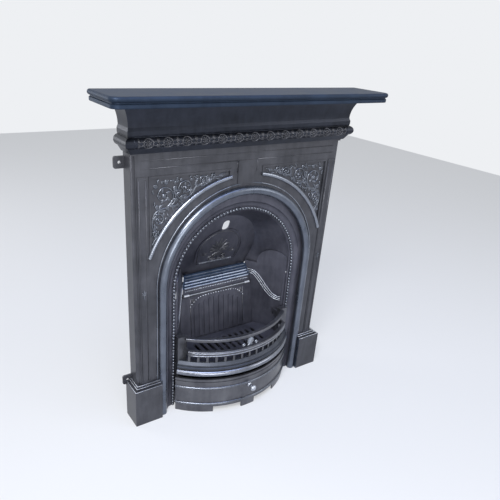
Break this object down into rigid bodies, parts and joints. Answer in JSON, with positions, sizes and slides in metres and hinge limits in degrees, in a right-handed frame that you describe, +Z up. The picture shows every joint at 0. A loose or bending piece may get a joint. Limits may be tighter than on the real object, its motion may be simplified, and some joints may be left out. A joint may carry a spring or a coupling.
{
  "type": "cast iron fireplace",
  "caption": "Arched cast iron fireplace with mantel shelf, ornamented spandrels, hood with register flap, fireback, bowed fire front and ash pit cover.",
  "frame": {"origin": "centre of the plan box at hearth level, the underside of the plinths", "axes": "+X to the right of someone facing the fireplace, +Y into the wall, +Z up"},
  "size_m": [0.94, 0.3258, 1.067],
  "materials": {
    "cast_surround": "blackleaded and polished",
    "cast_shelf": "blackleaded and polished, smooth",
    "cast_insert": "blackleaded, less polished",
    "cast_front": "blackleaded and burnished",
    "bolt_steel": "blackened",
    "pan_steel": "black sheet"
  },
  "bodies": {
    "root": {"surround": "cast_surround", "cornice": "cast_surround", "mantel_shelf": "cast_shelf", "cornice_bolts": "bolt_steel", "shelf_bolts": "bolt_steel", "arched_insert": "cast_insert", "insert_bolts": "bolt_steel", "flap_pivots": "bolt_steel", "left_cheek": "cast_insert", "right_cheek": "cast_insert", "cheek_bolts": "bolt_steel", "fireback": "cast_insert", "fireback_bolts": "bolt_steel", "throat_plate": "cast_insert"},
    "flap": {"register_flap": "cast_insert"},
    "grate": {"bottom_grate": "cast_insert"},
    "front": {"fire_front": "cast_front"},
    "cover": {"ash_pit_cover": "cast_front", "cover_knob": "cast_front", "knob_nut": "bolt_steel"},
    "pan": {"ash_pan": "pan_steel", "ash_pan_handle": "pan_steel", "ash_pan_rivets": "bolt_steel"}
  },
  "joints": [
    {"name": "flap_hinge", "type": "hinge", "parent": "root", "child": "flap", "pos_m": [0, 0.14608, 0.43], "axis": [-1, 0, 0], "range_deg": [0, 38]},
    {"name": "front_lift", "type": "slide", "parent": "root", "child": "front", "axis": [0, 0, 1], "range_m": [0, 0.03]},
    {"name": "grate_lift", "type": "slide", "parent": "root", "child": "grate", "axis": [0, 0, 1], "range_m": [0, 0.035]},
    {"name": "cover_draw", "type": "slide", "parent": "root", "child": "cover", "axis": [0, -1, 0], "range_m": [0, 0.15]},
    {"name": "pan_draw", "type": "slide", "parent": "root", "child": "pan", "axis": [0, -1, 0], "range_m": [0, 0.15]}
  ],
  "couplings": [
    {"joint": "pan_draw", "follows": "cover_draw", "ratio": 1}
  ]
}
